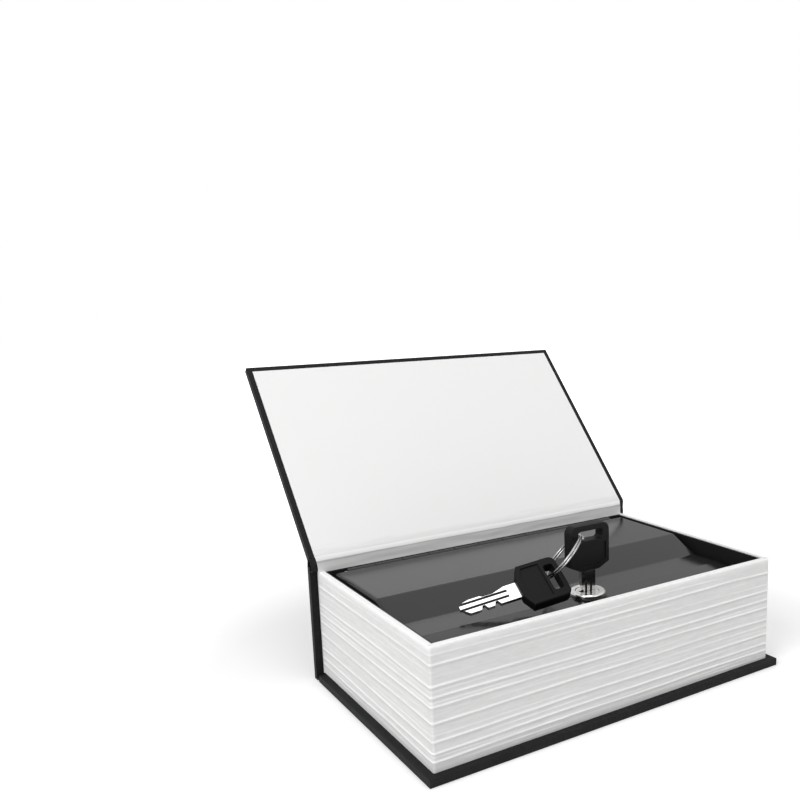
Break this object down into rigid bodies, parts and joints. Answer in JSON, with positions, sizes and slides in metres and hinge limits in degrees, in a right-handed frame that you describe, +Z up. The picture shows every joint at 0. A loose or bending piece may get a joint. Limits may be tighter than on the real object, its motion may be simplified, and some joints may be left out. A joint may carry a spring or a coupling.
{
  "type": "book diversion safe",
  "caption": "Cloth-covered book whose hinged cover opens on a locking steel box set in a moulded page block, with two keys on a ring.",
  "frame": {"origin": "middle of the back cover's underside, which the closed or open book lies on", "axes": "+X along the spine, to the right with the lock facing the viewer; +Y from the fore-edge to the spine; +Z up"},
  "size_m": [0.18, 0.1887, 0.1378],
  "materials": {
    "bookcloth": "black bookcloth, starched, slightly shiny",
    "greyboard": "grey binder's board",
    "lined_board": "board lined with black paper",
    "endpaper": "smooth white endpaper",
    "page_moulding": "off-white moulding ribbed like page edges",
    "box_paint": "black powder coat",
    "lid_paint": "black enamel, gloss",
    "nickel": "bright nickel plate",
    "zinc_steel": "zinc-plated steel",
    "bow_plastic": "black moulded plastic"
  },
  "bodies": {
    "case": {"back_board": "greyboard", "back_cloth": "bookcloth", "spine_board": "lined_board", "joint_cloth": "bookcloth", "joint_endpaper": "endpaper", "page_surround": "page_moulding", "box_tray": "box_paint", "strike_bracket": "zinc_steel", "box_hinge_leaf": "box_paint", "hinge_pin": "zinc_steel", "box_screw_1": "zinc_steel", "box_screw_2": "zinc_steel", "box_screw_3": "zinc_steel", "box_screw_4": "zinc_steel"},
    "cover": {"cover_board": "greyboard", "cover_cloth": "bookcloth", "cover_pastedown": "endpaper"},
    "lid": {"lid": "lid_paint", "lid_hinge_leaf": "lid_paint", "lock_body": "nickel", "lock_washer": "zinc_steel", "lock_nut": "nickel"},
    "plug": {"lock_plug": "nickel", "cam": "zinc_steel", "cam_screw": "zinc_steel"},
    "key": {"key_blade": "nickel", "key_bow": "bow_plastic"},
    "ring": {"split_ring": "nickel"},
    "spare_key": {"spare_blade": "nickel", "spare_bow": "bow_plastic"}
  },
  "joints": [
    {"name": "cover_hinge", "type": "hinge", "parent": "case", "child": "cover", "pos_m": [0, 0.0544, 0.0542], "axis": [-1, 0, 0], "range_deg": [-115, 46], "deforming": ["joint_cloth", "joint_endpaper"]},
    {"name": "lid_hinge", "type": "hinge", "parent": "case", "child": "lid", "pos_m": [0, 0.0487, 0.0496], "axis": [-1, 0, 0], "range_deg": [0, 95]},
    {"name": "lock_turn", "type": "hinge", "parent": "lid", "child": "plug", "pos_m": [0.003, -0.0273, 0.0464], "axis": [0, 0, -1], "range_deg": [0, 90]},
    {"name": "key_withdraw", "type": "slide", "parent": "plug", "child": "key", "axis": [0, 0, 1], "range_m": [0, 0.018]},
    {"name": "ring_swing", "type": "hinge", "parent": "key", "child": "ring", "pos_m": [-0.00025, -0.0274, 0.07105], "axis": [0.4869, 0.8699, -0.079], "range_deg": [0, 30]},
    {"name": "spare_swing", "type": "hinge", "parent": "ring", "child": "spare_key", "pos_m": [-0.01592, -0.0266, 0.0556], "axis": [0.12, 0.89, -0.44], "range_deg": [0, 20]}
  ],
  "couplings": [
    {"joint": "ring_swing", "follows": "lock_turn", "ratio": 0.3333}
  ]
}
